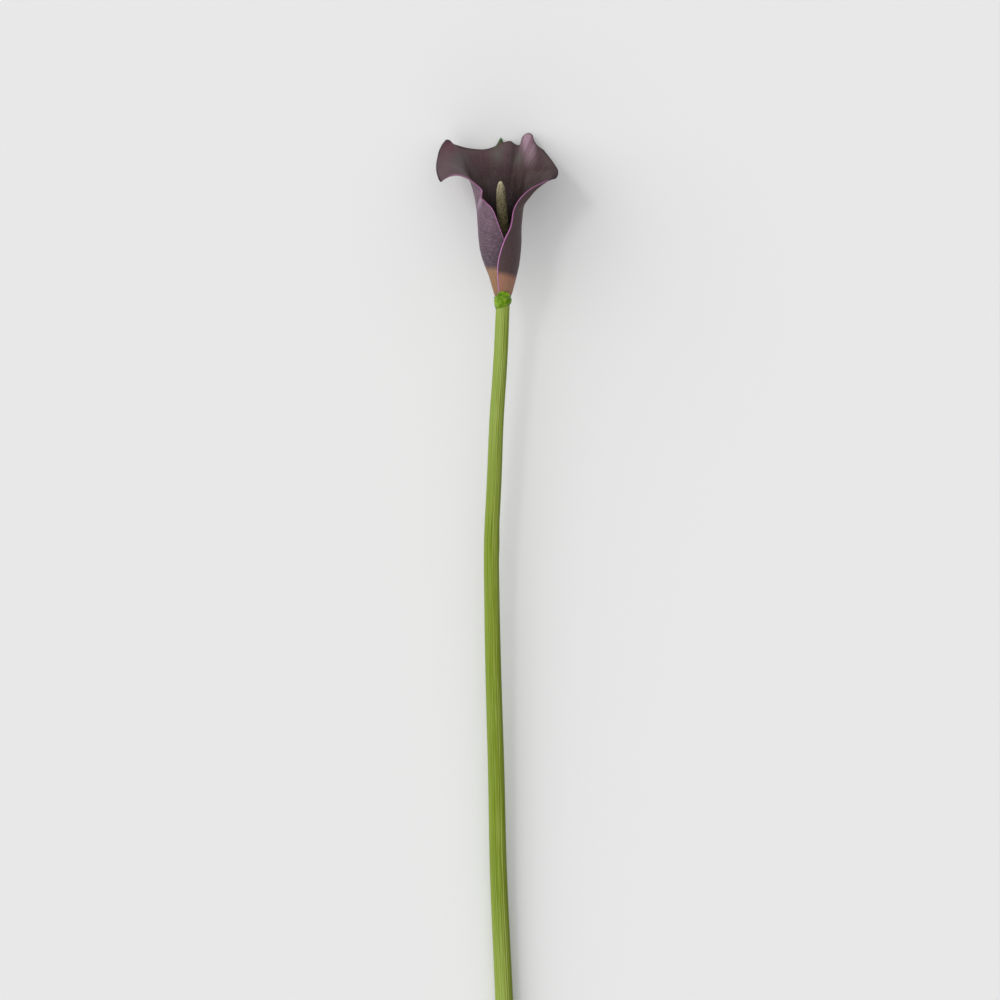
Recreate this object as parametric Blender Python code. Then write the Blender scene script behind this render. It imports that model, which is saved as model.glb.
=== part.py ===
"""A cut calla lily, lying face up on a flat surface.

Four pieces: the stem, the collar where stem and flower meet, the spadix, and the spathe, which is one
leaf-like sheet rolled into a trumpet with its right edge lapped over its left. +Y runs from the cut end
to the flower, +Z is up, and the surface it lies on is z = 0.
"""
import math

import bmesh
import bpy
import numpy as np

MM = 0.001
WELD = 0.001 * MM  # corners closer than this are one corner

# Stem: a fleshy stalk that is straight but for one soft kink, thicker at the cut.
STEM_LENGTH = 540 * MM
STEM_TOP_RADIUS = 4.15 * MM
STEM_CUT_RADIUS = 5.8 * MM
STEM_SIDES = 20
STEM_RINGS = 44
STEM_TOP_GAP = 1.9 * MM  # from the head's zero down to the stem's own end, inside the collar
# Sideways drift of the stem, at shares of its length below the flower.
STEM_DRIFT = (
    (0.0, 0.0),
    (0.067, -1.6 * MM),
    (0.133, -3.9 * MM),
    (0.2, -5.3 * MM),
    (0.267, -6.9 * MM),
    (0.333, -6.7 * MM),
    (0.4, -6.0 * MM),
    (0.533, -4.0 * MM),
    (0.633, -2.8 * MM),
    (0.767, 0.4 * MM),
    (1.0, 6.0 * MM),
)

# Head: the flower's own zero is the middle of the stem's top. The model's origin is under the middle of
# the whole flower and stem, and this is where the head's zero lies from it.
HEAD_PLACE = (3.5 * MM, 219.8 * MM)
HEAD_LIFT = 26.0 * MM  # of that point, over the middle of a stem lying on the surface
HEAD_LEAN = 0.105  # rise of the trumpet's axis per unit of length

SHEET_THICKNESS = 0.8 * MM
SHEET_WRAP_STEP = 1.6 * MM  # how much further out the right edge runs than the left
SHEET_COLUMNS = 72
TUBE_ROWS = 14
TUBE_ROW_CROWDING = 1.5  # above 1 crowds the rows towards the narrow foot
FLARE_ROWS = 14
ROLL_ROWS = 2
SHEET_FOOT = -1.5 * MM
TUBE_TOP = 50 * MM
# Tube radius, and the sideways place of its middle, at heights above the head's zero.
TUBE_RADIUS = (
    (-1.5 * MM, 2.8 * MM),
    (0.0, 3.0 * MM),
    (2.4 * MM, 4.4 * MM),
    (7.2 * MM, 6.0 * MM),
    (14.4 * MM, 8.0 * MM),
    (21.6 * MM, 10.2 * MM),
    (28.8 * MM, 11.7 * MM),
    (36 * MM, 12.45 * MM),
    (43.2 * MM, 12.85 * MM),
    (50.4 * MM, 13.35 * MM),
)
TUBE_MIDDLE = (
    (0.0, -0.3 * MM),
    (14.4 * MM, -0.5 * MM),
    (28.8 * MM, -1.75 * MM),
    (43.2 * MM, -2.45 * MM),
    (50.4 * MM, -2.5 * MM),
)
# How far round from the back each edge of the sheet reaches, in degrees, at heights up the tube.
LEFT_REACH = (
    (-1.5 * MM, 240),
    (20 * MM, 216),
    (36 * MM, 194),
    (43.2 * MM, 182.4),
    (50.4 * MM, 170.8),
)
RIGHT_REACH = (
    (-1.5 * MM, 206),
    (6 * MM, 202),
    (14 * MM, 199),
    (28.2 * MM, 180.5),
    (36 * MM, 167),
    (43.2 * MM, 151.5),
    (48 * MM, 147),
    (52 * MM, 145.5),
)

# The rim, from the left wing's tip round the back to the right wing's tip: share of the sheet's width,
# the rim point, and the way the sheet runs into it, all in millimetres.
RIM = (
    (0.00, (-37.5, 70.6, 9.0), (-14.5, -12.5, -3.0)),
    (0.06, (-38.4, 76.6, 4.0), (-17.5, -6.0, -7.0)),
    (0.12, (-38.2, 83.0, -3.0), (-18.5, 1.0, -10.0)),
    (0.19, (-35.8, 90.4, -12.0), (-16.0, 7.0, -12.0)),
    (0.26, (-31.2, 95.4, -21.5), (-11.0, 12.0, -13.0)),
    (0.31, (-26.6, 91.8, -26.6), (-7.0, 11.0, -14.0)),
    (0.41, (-15.0, 89.7, -28.0), (-3.0, 11.0, -14.0)),
    (0.50, (-4.2, 91.0, -26.0), (0.0, 12.0, -12.0)),
    (0.56, (4.0, 94.2, -26.0), (1.0, 13.0, -11.0)),
    (0.60, (8.6, 92.0, -28.2), (3.0, 11.0, -12.0)),
    (0.63, (10.8, 95.5, -28.4), (4.0, 13.0, -11.5)),
    (0.66, (13.8, 98.8, -27.2), (5.0, 15.0, -10.0)),
    (0.71, (17.2, 95.6, -22.0), (8.0, 13.0, -11.0)),
    (0.79, (23.2, 89.0, -14.0), (11.0, 10.0, -10.0)),
    (0.88, (29.6, 81.0, -4.0), (9.0, 10.0, -9.0)),
    (0.95, (32.2, 75.8, 4.0), (7.0, 8.5, -5.0)),
    (1.00, (31.8, 72.7, 9.0), (12.0, 3.2, -1.0)),
)
FLARE_RISE = 13 * MM  # how far the tube's own direction carries on into the flare
ROLL_RADIUS = 3.0 * MM
ROLL_ANGLE = 75.0  # degrees that the rim rolls back, fading out at the two wing tips
# The pointed tip in the middle of the back, drawn out from the rim.
TIP_AT = 0.5
TIP_HALF_WIDTH = 0.035
TIP_SHARPNESS = 1.4
TIP_PULL = (2.2 * MM, 6.0 * MM, -1.0 * MM)
# The short jog in the left edge, where the edge folds outward.
JOG_HEIGHT = 62.4 * MM
JOG_REACH = 2.9 * MM
JOG_SHIFT = 2.0 * MM
JOG_WIDTH = 0.07

# Spadix: height, sideways place and radius along it.
SPADIX = (
    (0.5 * MM, -0.3 * MM, 1.2 * MM),
    (3 * MM, -0.1 * MM, 1.7 * MM),
    (9 * MM, 0.6 * MM, 2.4 * MM),
    (17 * MM, 1.0 * MM, 3.0 * MM),
    (28 * MM, 1.1 * MM, 3.3 * MM),
    (40 * MM, 0.6 * MM, 3.35 * MM),
    (52 * MM, -0.4 * MM, 3.2 * MM),
    (62 * MM, -1.1 * MM, 2.8 * MM),
    (68 * MM, -1.3 * MM, 2.1 * MM),
    (70.6 * MM, -1.35 * MM, 1.2 * MM),
    (71.4 * MM, -1.35 * MM, 0.4 * MM),
)
SPADIX_SIDES = 16
SPADIX_RINGS = 20
SPADIX_RING_CROWDING = 0.9  # below 1 crowds the rings towards the tip

# Collar: a thin green sleeve over the joint, with a tongue up the front.
COLLAR_GAP = 0.3 * MM
COLLAR_WALL = 0.4 * MM
COLLAR_OFFSET = 0.35 * MM  # it sits round the thicker, lapped side of the sheet
COLLAR_TOP = 1.6 * MM
COLLAR_TONGUE = 3.0 * MM
COLLAR_TONGUE_TURN = 0.25  # radians from straight up to the left side
COLLAR_TONGUE_SHARPNESS = 6
COLLAR_RAGGED = 0.35 * MM  # waviness of both of its ends, three waves round
COLLAR_RAGGED_TURN = 0.6
COLLAR_FOOT = -4.8 * MM
COLLAR_SIDES = 32
COLLAR_RINGS = 8

COLOURS = {
    "spathe": ((0.075, 0.038, 0.050, 1), 0.55),
    "spadix": ((0.310, 0.270, 0.130, 1), 0.80),
    "collar": ((0.110, 0.270, 0.020, 1), 0.35),
    "stem": ((0.210, 0.300, 0.055, 1), 0.45),
}


def clear_scene():
    for obj in list(bpy.data.objects):
        bpy.data.objects.remove(obj, do_unlink=True)


def along(table, at):
    """Smooth value of a table of (place, value, ...) rows at one place: a curve through every row."""
    rows = np.array([np.hstack(row) for row in table], float)
    places, values = rows[:, 0], rows[:, 1:]
    k = int(np.clip(np.searchsorted(places, at) - 1, 0, len(places) - 2))
    slopes = np.gradient(values, places, axis=0)
    span = places[k + 1] - places[k]
    t = np.clip((at - places[k]) / span, 0.0, 1.0)
    here = (1 + 2 * t) * (1 - t) ** 2 * values[k] + t * (1 - t) ** 2 * span * slopes[k]
    there = t * t * (3 - 2 * t) * values[k + 1] - t * t * (1 - t) * span * slopes[k + 1]
    found = here + there
    return float(found[0]) if found.size == 1 else found


def tube_point(across, height):
    """The sheet's middle surface in the rolled tube. across runs from 0, the left edge, to 1."""
    left, right = along(LEFT_REACH, height), along(RIGHT_REACH, height)
    from_middle = across - 0.5
    turn = (left + right) * from_middle + 2 * (right - left) * from_middle**2
    angle = math.radians(270 + turn)
    radius = along(TUBE_RADIUS, height) + SHEET_WRAP_STEP * from_middle
    middle = along(TUBE_MIDDLE, height)
    return np.array(
        (
            middle + radius * math.cos(angle),
            height,
            HEAD_LEAN * height + radius * math.sin(angle),
        )
    )


def flare_point(across, share):
    """The sheet's middle surface from the top of the tube, share 0, to the rim, share 1."""
    foot = tube_point(across, TUBE_TOP)
    rise = foot - tube_point(across, TUBE_TOP - 1 * MM)
    row = along(RIM, across) * MM
    rim, run = row[:3], row[3:]
    from_tube = foot + rise / np.linalg.norm(rise) * FLARE_RISE
    back = 1 - share
    return (
        back**3 * foot
        + 3 * back**2 * share * from_tube
        + 3 * back * share**2 * (rim - run)
        + share**3 * rim
    )


def tip_weight(across):
    return max(0.0, 1 - abs(across - TIP_AT) / TIP_HALF_WIDTH) ** TIP_SHARPNESS


def roll_point(across, share):
    """The last of the sheet, rolled back and under past the rim, and drawn out into the tip."""
    rim = flare_point(across, 1.0)
    step = 0.002
    outward = rim - flare_point(across, 1 - step)
    outward /= np.linalg.norm(outward)
    sideways = flare_point(min(1, across + step), 1.0) - flare_point(max(0, across - step), 1.0)
    under = np.cross(outward, sideways)
    under /= np.linalg.norm(under)
    angle = math.radians(ROLL_ANGLE) * share * math.sin(math.pi * across) ** 0.5
    rolled = rim + ROLL_RADIUS * (math.sin(angle) * outward + (1 - math.cos(angle)) * under)
    return rolled + tip_weight(across) * share * np.array(TIP_PULL)


def jogged(across, point):
    """The same point, moved sideways if it is by the fold in the left edge."""
    off = (point[1] - JOG_HEIGHT) / JOG_REACH
    near_edge = max(0.0, 1 - across / JOG_WIDTH) ** 2
    point[0] += JOG_SHIFT * off * math.exp(0.5 - 0.5 * off * off) * near_edge
    return point


def sheet_point(across, row):
    """The sheet's middle surface at one row of the grid, counted from the foot of the tube."""
    if row <= TUBE_ROWS:
        up = (row / TUBE_ROWS) ** TUBE_ROW_CROWDING
        return tube_point(across, SHEET_FOOT + (TUBE_TOP - SHEET_FOOT) * up)
    if row <= TUBE_ROWS + FLARE_ROWS:
        return jogged(across, flare_point(across, (row - TUBE_ROWS) / FLARE_ROWS))
    return roll_point(across, (row - TUBE_ROWS - FLARE_ROWS) / ROLL_ROWS)


def material(name):
    colour, roughness = COLOURS[name]
    made = bpy.data.materials.new(name)
    made.use_nodes = True
    shader = made.node_tree.nodes["Principled BSDF"]
    shader.inputs["Base Color"].default_value = colour
    shader.inputs["Roughness"].default_value = roughness
    shader.inputs["Metallic"].default_value = 0.0
    made.diffuse_color = colour
    return made


def new_object(name, bm, parent):
    """A named piece made from a bmesh that holds places in its parent's frame."""
    bmesh.ops.recalc_face_normals(bm, faces=bm.faces)
    mesh = bpy.data.meshes.new(name)
    bm.to_mesh(mesh)
    bm.free()
    mesh.materials.append(material(name))
    mesh.shade_smooth()
    obj = bpy.data.objects.new(name, mesh)
    obj.parent = parent
    bpy.context.collection.objects.link(obj)
    return obj


def rolled_grid(columns, rows, place):
    """A flat grid of columns by rows, each corner moved to place(column, row)."""
    bm = bmesh.new()
    bmesh.ops.create_grid(bm, x_segments=columns, y_segments=rows, size=1)
    for vert in bm.verts:
        column = round((vert.co.x + 1) / 2 * columns)
        row = round((vert.co.y + 1) / 2 * rows)
        vert.co = place(column, row)
    return bm


def lofted_bar(sides, places, radii):
    """A closed round bar through places, each ring level with Y, its ends capped."""
    rings = len(places) - 1

    def place(column, row):
        angle = 2 * math.pi * column / sides
        out = np.array((math.cos(angle), 0, math.sin(angle)))
        return np.array(places[row]) + radii[row] * out

    bm = rolled_grid(sides, rings, place)
    bmesh.ops.remove_doubles(bm, verts=bm.verts, dist=WELD)
    bmesh.ops.holes_fill(bm, edges=[e for e in bm.edges if e.is_boundary])
    return bm


def build_spathe(head):
    rows = TUBE_ROWS + FLARE_ROWS + ROLL_ROWS
    bm = rolled_grid(SHEET_COLUMNS, rows, lambda column, row: sheet_point(column / SHEET_COLUMNS, row))
    spathe = new_object("spathe", bm, head)
    thick = spathe.modifiers.new("thickness", "SOLIDIFY")
    thick.thickness = SHEET_THICKNESS
    thick.offset = 0


def build_spadix(head):
    heights = np.linspace(0, 1, SPADIX_RINGS + 1) ** SPADIX_RING_CROWDING
    heights = SPADIX[0][0] + (SPADIX[-1][0] - SPADIX[0][0]) * heights
    rows = [along(SPADIX, height) for height in heights]
    places = [(row[0], height, HEAD_LEAN * height) for row, height in zip(rows, heights)]
    new_object("spadix", lofted_bar(SPADIX_SIDES, places, [row[1] for row in rows]), head)


def collar_point(column, row):
    """The collar's inner skin, following the foot of the spathe."""
    angle = 2 * math.pi * column / COLLAR_SIDES
    front = max(0.0, math.sin(angle - COLLAR_TONGUE_TURN)) ** COLLAR_TONGUE_SHARPNESS
    ragged = COLLAR_RAGGED * math.sin(3 * angle + COLLAR_RAGGED_TURN)
    top = COLLAR_TOP + COLLAR_TONGUE * front + ragged
    foot = COLLAR_FOOT + ragged
    up = row / COLLAR_RINGS
    height = foot + (top - foot) * up
    lapped = SHEET_WRAP_STEP / 2 + SHEET_THICKNESS / 2
    radius = max(along(TUBE_RADIUS, height) + lapped, STEM_TOP_RADIUS) + COLLAR_GAP
    sideways = (TUBE_MIDDLE[0][1] + COLLAR_OFFSET) * up + radius * math.cos(angle)
    return np.array(
        (
            sideways,
            height,
            HEAD_LEAN * height + COLLAR_OFFSET * up + radius * math.sin(angle),
        )
    )


def build_collar(head):
    bm = rolled_grid(COLLAR_SIDES, COLLAR_RINGS, collar_point)
    bmesh.ops.remove_doubles(bm, verts=bm.verts, dist=WELD)
    collar = new_object("collar", bm, head)
    wall = collar.modifiers.new("wall", "SOLIDIFY")
    wall.thickness = COLLAR_WALL
    wall.offset = 1


def stem_middle(below):
    """Middle of the stem, at a share of its length below the flower."""
    sideways, forward = HEAD_PLACE
    lift = STEM_CUT_RADIUS + HEAD_LIFT * (1 - below) ** 2
    return (sideways + along(STEM_DRIFT, below), forward - STEM_LENGTH * below, lift)


def build_stem():
    shares = np.linspace(STEM_TOP_GAP / STEM_LENGTH, 1, STEM_RINGS + 1)
    radii = STEM_TOP_RADIUS + (STEM_CUT_RADIUS - STEM_TOP_RADIUS) * shares
    new_object("stem", lofted_bar(STEM_SIDES, [stem_middle(share) for share in shares], radii), None)


def build():
    clear_scene()
    build_stem()
    head = bpy.data.objects.new("head", None)
    bpy.context.collection.objects.link(head)
    head.location = stem_middle(0)
    build_spathe(head)
    build_spadix(head)
    build_collar(head)


build()
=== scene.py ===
"""The finished looks of a cut calla lily that lies face up on a pale surface.

+Y runs from the cut end of the stem to the flower and +Z is up, in metres, as in the CAD model.
"""

import math
import random

import bmesh
import bpy
import numpy as np
from mathutils import Matrix, Vector


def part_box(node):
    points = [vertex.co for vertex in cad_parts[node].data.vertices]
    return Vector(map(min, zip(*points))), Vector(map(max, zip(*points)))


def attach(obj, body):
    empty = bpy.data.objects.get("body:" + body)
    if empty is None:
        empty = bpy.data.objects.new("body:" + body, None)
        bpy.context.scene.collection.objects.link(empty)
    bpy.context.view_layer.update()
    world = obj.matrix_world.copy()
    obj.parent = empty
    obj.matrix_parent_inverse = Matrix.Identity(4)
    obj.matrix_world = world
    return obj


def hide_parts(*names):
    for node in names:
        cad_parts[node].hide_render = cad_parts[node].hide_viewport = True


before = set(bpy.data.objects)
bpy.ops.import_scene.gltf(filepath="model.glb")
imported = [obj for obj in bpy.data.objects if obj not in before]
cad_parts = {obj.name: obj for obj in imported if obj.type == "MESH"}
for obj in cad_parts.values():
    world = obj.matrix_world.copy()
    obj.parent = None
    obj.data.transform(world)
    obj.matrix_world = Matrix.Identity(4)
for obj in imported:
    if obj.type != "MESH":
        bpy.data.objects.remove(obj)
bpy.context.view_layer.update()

bl_info = {
    "name": "Cut calla lily",
    "version": (1, 0, 0),
    "blender": (4, 5, 0),
    "location": "View3D > Sidebar > Calla",
    "description": "Models and finishes the pieces of a cut calla lily",
    "category": "Mesh",
}

MM = 0.001
WELD = 0.0005 * MM  # corners closer than this are one corner
SEED = 7

# ---- Where things are, from the CAD model ------------------------------------------------------------

STEM_LOW, STEM_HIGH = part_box("stem")
STEM_TOP_GAP = 1.9 * MM  # the stem ends this far below the flower's own zero
STEM_LENGTH = STEM_HIGH.y + STEM_TOP_GAP - STEM_LOW.y
STEM_CUT_RADIUS = 5.8 * MM
STEM_TOP_RADIUS = 4.15 * MM
HEAD_ASIDE = 3.5 * MM
HEAD_LIFT = 26.0 * MM  # over the middle of a stem lying on the surface
HEAD_LEAN = 0.105  # rise of the trumpet's axis per unit of length
# The flower's own zero: the middle of the stem's top, where the spathe, spadix and collar meet.
HEAD = Vector((HEAD_ASIDE, STEM_HIGH.y + STEM_TOP_GAP, STEM_CUT_RADIUS + HEAD_LIFT))

# Sideways drift of the stem, at shares of its length below the flower.
STEM_DRIFT = (
    (0.0, 0.0),
    (0.067, -1.6),
    (0.133, -3.9),
    (0.2, -5.3),
    (0.267, -6.9),
    (0.333, -6.7),
    (0.4, -6.0),
    (0.533, -4.0),
    (0.633, -2.8),
    (0.767, 0.4),
    (1.0, 6.0),
)

# ---- The spathe's shape, in millimetres from the flower's own zero -------------------------------------

SHEET_FOOT = -1.5
TUBE_TOP = 50.0
WRAP_STEP = 1.6  # how much further out the right edge runs than the left
SHEET_THICKNESS = 0.8
# How much thicker the sheet is along its right edge, how far in, and the heights it starts and stops at.
LIP_THICKNESS = 0.15
LIP_WIDTH = 1.6
LIP_UP = (-1.0, 14.0)
LIP_DOWN = (58.0, 42.0)
TUBE_RADIUS = (
    (-1.5, 2.8),
    (0.0, 3.0),
    (2.4, 4.4),
    (7.2, 6.0),
    (14.4, 8.0),
    (21.6, 10.2),
    (28.8, 11.7),
    (36, 12.45),
    (43.2, 12.85),
    (50.4, 13.35),
)
TUBE_MIDDLE = (
    (0.0, -0.3),
    (14.4, -0.5),
    (28.8, -1.75),
    (43.2, -2.45),
    (50.4, -2.5),
)
# How far round from the back each edge of the sheet reaches, in degrees, at heights up the tube.
LEFT_REACH = (
    (-1.5, 240),
    (20, 216),
    (36, 194),
    (43.2, 182.4),
    (50.4, 170.8),
)
RIGHT_REACH = (
    (-1.5, 206),
    (6, 202),
    (14, 199),
    (28.2, 180.5),
    (36, 167),
    (43.2, 151.5),
    (48, 147),
    (52, 145.5),
)
# The rim, from the left wing's tip round the back to the right wing's tip: share of the sheet's width,
# the rim point, and the way the sheet runs into it.
RIM = (
    (0.00, (-37.5, 70.6, 9.0), (-14.5, -12.5, -3.0)),
    (0.06, (-38.4, 76.6, 4.0), (-17.5, -6.0, -7.0)),
    (0.12, (-38.2, 83.0, -3.0), (-18.5, 1.0, -10.0)),
    (0.19, (-36.4, 90.4, -12.0), (-16.5, 7.0, -12.0)),
    (0.235, (-33.6, 95.0, -18.6), (-13.0, 11.0, -12.5)),
    (0.262, (-32.0, 96.1, -22.0), (-11.0, 12.0, -13.0)),
    (0.284, (-29.7, 94.0, -24.6), (-9.0, 11.0, -13.5)),
    (0.31, (-26.0, 92.6, -26.6), (-7.0, 11.0, -14.0)),
    (0.37, (-19.5, 90.9, -27.8), (-4.5, 11.0, -14.0)),
    (0.44, (-10.6, 90.5, -27.4), (-2.0, 11.0, -13.5)),
    (0.50, (-3.4, 92.5, -26.0), (0.0, 12.0, -12.0)),
    (0.555, (4.2, 94.7, -26.0), (1.0, 13.0, -11.0)),
    (0.60, (9.2, 92.8, -28.2), (2.8, 11.2, -12.2)),
    (0.615, (11.4, 93.6, -28.0), (4.6, 11.8, -12.3)),
    (0.635, (11.3, 97.4, -25.6), (3.8, 14.4, -10.4)),
    (0.66, (14.2, 99.6, -24.8), (5.4, 15.0, -10.3)),
    (0.685, (16.8, 98.3, -23.4), (7.1, 14.2, -10.2)),
    (0.71, (18.1, 94.3, -21.6), (7.7, 12.8, -9.9)),
    (0.79, (23.2, 89.0, -14.0), (11.0, 10.0, -10.0)),
    (0.88, (29.6, 81.0, -4.0), (9.0, 10.0, -9.0)),
    (0.95, (32.2, 75.8, 4.0), (7.0, 8.5, -5.0)),
    (1.00, (31.8, 72.7, 9.0), (12.0, 3.2, -1.0)),
)
FLARE_RISE = 13.0  # how far the tube's own direction carries on into the flare
ROLL_RADIUS = 3.0
ROLL_ANGLE = 75.0  # degrees that the rim rolls back, fading out at the two wing tips
# The point of the rim: share across, half its width, how concave its sides are, and which way it reaches.
TIP_AT = 0.507
TIP_HALF_WIDTH = 0.015
TIP_SHARPNESS = 1.2
TIP_PULL = (0.7, 5.0, -1.0)
# The short jog in the left edge, where the edge folds outward, and the crease that runs down from it.
JOG_HEIGHT = 62.4
JOG_REACH = 2.9
JOG_SHIFT = 2.0
JOG_WIDTH = 0.07
JOG_PULL = -2.2  # how far the edge draws back round the jog
JOG_PULL_HEIGHT = 62.9
JOG_PULL_REACH = 2.8
CREASE = ((-12.6, 59.8), (-15.2, 51.5))
CREASE_HEIGHT = 0.75
CREASE_WIDTH = 0.6
CREASE_ACROSS = 0.2  # it stays on this share of the sheet, and off what lies behind
CREASE_FADE_FROM = 0.25  # share of its length past which it dies away
CREASE_FADE = 5.0
CREASE_START = (-0.55, 0.1)
# Soft swells of the whole sheet, where two waves cross: rate across, rate up it and start of each.
SWELL_HEIGHT = 0.22
SWELL_WAVES = ((31.0, 0.07, 0.0), (5.0, 0.11, 1.0))
SWELL_UP = (15.0, 40.0)  # they rise between these heights
SWELL_EDGE = 8.0  # and fade out over this distance from the side edges
# Soft swellings of the two flanks: share across and its reach, height and its reach, and push to the right.
FLANKS = ((0.91, 0.04, 60.5, 3.4, 1.6), (0.95, 0.04, 69.5, 3.2, -1.0), (0.1, 0.06, 64.5, 5.5, 1.0))
EDGE_LIP = 0.4  # how far the right edge turns outward, and half of it the left edge
# How far in from each edge the lip reaches, and the heights between which it rises.
RIGHT_LIP_REACH = 1.5
RIGHT_LIP_UP = (-2.0, 6.0)
RIGHT_LIP_DOWN = (75.0, 45.0)  # and dies away again
LEFT_LIP_REACH = 1.2
LEFT_LIP_UP = (28.0, 40.0)

# How dusty the inner face of the left wing is, at shares of the width.
WING_DUST = ((0, 0.45), (0.1, 0.5), (0.2, 0.4), (0.3, 0.12), (0.45, 0), (1, 0))
HOLLOW_DUST = 0.7
HOLLOW = (7.5, 2.0, 91.5, 3.0)  # the hollow beside the right ear: x and its reach, y and its reach
# Soft greenish-grey patches on the inner face: x, y and size.
DULL_PATCHES = ((-25.5, 84.0, 3.6), (9.3, 86.0, 2.2), (-3.0, 87.0, 2.5))
# Tints by the rim: strength, share across and its reach, and how far down from the rim they run.
RIM_TINTS = {
    "left_ear": (1.0, 0.262, 0.05, 16.0),
    # The right ear's lilac blush is partly its own colour and partly painted highlight.
    "right_ear": (0.4, 0.655, 0.016, 12.0),
    "right_flush": (0.6, 0.695, 0.016, 11.0),
    "tip": (1.0, 0.501, 0.01, 3.4),
}
# Where each tint begins and where it is full, in the order given: millimetres, or shares of the width.
DUST_UP = (48.0, 72.0)
DUST_DOWN = (104.0, 80.0)
# The painted highlight on the fold below the right ear lies between these.
FOLD_LEFT = (10.5, 14.5)
FOLD_RIGHT = (22.0, 16.0)
FOLD_UP = (76.0, 97.0)
# Painted shade darkens the rolled rim: close to its edge, and where the inner face turns down, away from the
# light.
RIM_SHADE_TO_RIM = (1.5, 0.5)
TURNED_TO_RIM = (6.0, 4.0)
TURNED_DOWN = (0.7, 0.3)  # upward part of the inner face's direction, where the rim rolls over
MARGIN_TO_EDGE = (0.75, 0.35)
MARGIN_TO_RIM = (0.0, 12.0)
RIGHT_SIDE = (0.45, 0.85)
SKIN_WIDTH = 90.0  # the breadth that the skin's patterns give to the whole sheet
# Where the outer face turns from tan to purple, from its left edge to the back, and up to its right edge.
TURN_HEIGHT = 19.0
TURN_DROP = -5.5
TURN_DROP_ACROSS = (0.3, 0.7)
TURN_RISE = 2.5
TURN_RISE_ACROSS = (0.75, 1.0)
SPATHE_COLUMNS = 260
COLUMN_SAMPLES = 4001  # places where their crowding is worked out
TUBE_ROWS = 50
TUBE_ROW_CROWDING = 1.15  # above 1 crowds the rows towards the narrow foot
FLARE_ROWS = 66
ROLL_ROWS = 12
# Where the columns lie closer together: share across, how far around it, and how much closer.
CROWDING = ((0.0, 0.015, 3.0), (0.265, 0.035, 0.8), (0.507, 0.015, 2.5), (0.63, 0.04, 1.4), (1.0, 0.015, 3.0))
SOFTEN_PASSES = 12
EDGE_ROUND = 0.5  # the sheet's thickness rounds off over this distance from its edges
EDGE_THINNEST = 0.3  # square of the share of the thickness that is left at the very edge

# Spadix: height, sideways place and radius along it.
SPADIX = (
    (0.5, -0.3, 1.2),
    (3, -0.1, 1.7),
    (9, 0.6, 2.2),
    (17, 1.0, 2.8),
    (28, 1.1, 3.1),
    (40, 0.6, 3.15),
    (52, -0.4, 3.0),
    (62, -1.1, 2.65),
    (68, -1.3, 1.9),
    (70.4, -1.35, 1.05),
    (71.2, -1.35, 0.3),
)
SPADIX_COLUMNS = 36
SPADIX_ROWS = 60
SPADIX_ROW_CROWDING = 0.9  # below 1 crowds the rows towards the tip
SPADIX_SIDE_SHADE = 0.45  # how much darker the florets are on the right side, as painted shade
CORE_SHADE = 1.4  # painted shade of the core between the florets, and how much paler it gets at the tip
CORE_PALER = 1.2
CORE_PALER_UP = (67.0, 69.5)
FLORETS_FROM = 8.0
FLORETS_TO = 71.0
FLORET_BATCH = 50
FLORET_SIDES = 7
FLORET_RINGS = 5
FLORET_SIZES = (0.9, 1.12)  # smallest and largest, as shares of their spacing
FLORET_TAPER = 0.25  # how much closer together they lie at the tip
FLORET_TAPER_FROM = 60.0
FLORET_SINK = 0.02
FLORET_RISE = 0.6  # how far a floret stands out, as a share of its width
FLORET_PACKING = 0.866  # height of a row of close-packed rounds, as a share of their spacing
GOLDEN_ANGLE = math.pi * (3 - math.sqrt(5))

# Collar: its top and bottom edges at angles round the stem, with 90 facing up.
COLLAR_TOP = (
    (-90, 1.4),
    (-20, 1.6),
    (25, 2.2),
    (45, 3.4),
    (75, 4.9),
    (112, 4.2),
    (122, 2.9),
    (180, 2.1),
    (270, 1.4),
)
COLLAR_FOOT = (
    (-90, -4.4),
    (0, -2.6),
    (45, -2.7),
    (90, -4.3),
    (140, -5.1),
    (180, -5.3),
    (270, -4.4),
)
COLLAR_FRONT = (-0.2, 0.9)  # sine of the angle round it, from the single sheet behind to the lap in front
COLLAR_SHIFT_UP = (-3.0, 1.0)  # between these heights it moves over from the stem's middle to the tube's
COLLAR_GAP = 0.05  # past the stem
COLLAR_COLUMNS = 120
COLLAR_ROWS = 26
COLLAR_CLEAR = 0.15  # past the lapped edge of the spathe
COLLAR_EDGE = 0.9  # it thins off over this distance from its edges
COLLAR_THINNEST = 0.06  # square of the share of the wall that is left at the very edge
COLLAR_LUMP = 0.5
# Its lumps: share of their height, angle and its reach, height and its reach.
COLLAR_LUMPS = (
    (1.0, 0.0, 22.0, -0.5, 1.2),
    (0.55, 118.0, 10.0, 1.0, 1.8),
    (0.5, 70.0, 9.0, -1.5, 2.0),
    (-0.9, 96.0, 4.5, 2.6, 0.6),
)
COLLAR_WAVE = 0.55  # share of the height
COLLAR_WAVE_COUNT = 5
COLLAR_WAVE_TWIST = 0.9  # radians per millimetre

STEM_COLUMNS = 180
STEM_ROWS = 240
# Ribs round the stem: how many, share of their height, how fast they wander, and where they start.
STEM_RIBS = (
    (13, 0.3, 0.011, 0.4),
    (22, 0.6, 0.013, 2.1),
    (27, 0.5, 0.007, 4.0),
    (41, 0.2, 0.023, 1.2),
)
RIBS_FADE = 12.0  # they fade in over this distance from the flower
KINK_AT = 146.0
KINK_RISE = 0.3
KINK_REACH = 5.0
KINK_SPREAD = 0.6  # round the stem, in radians
STEM_CLEAR = 0.02 * MM  # what lies lower than this is flattened to the surface
TOP_RING = 0.97  # last ring of the closed top, as a share of the radius
CUT_FADE = 0.1  # the ribs die away within this share of the radius at the middle of the cut
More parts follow.
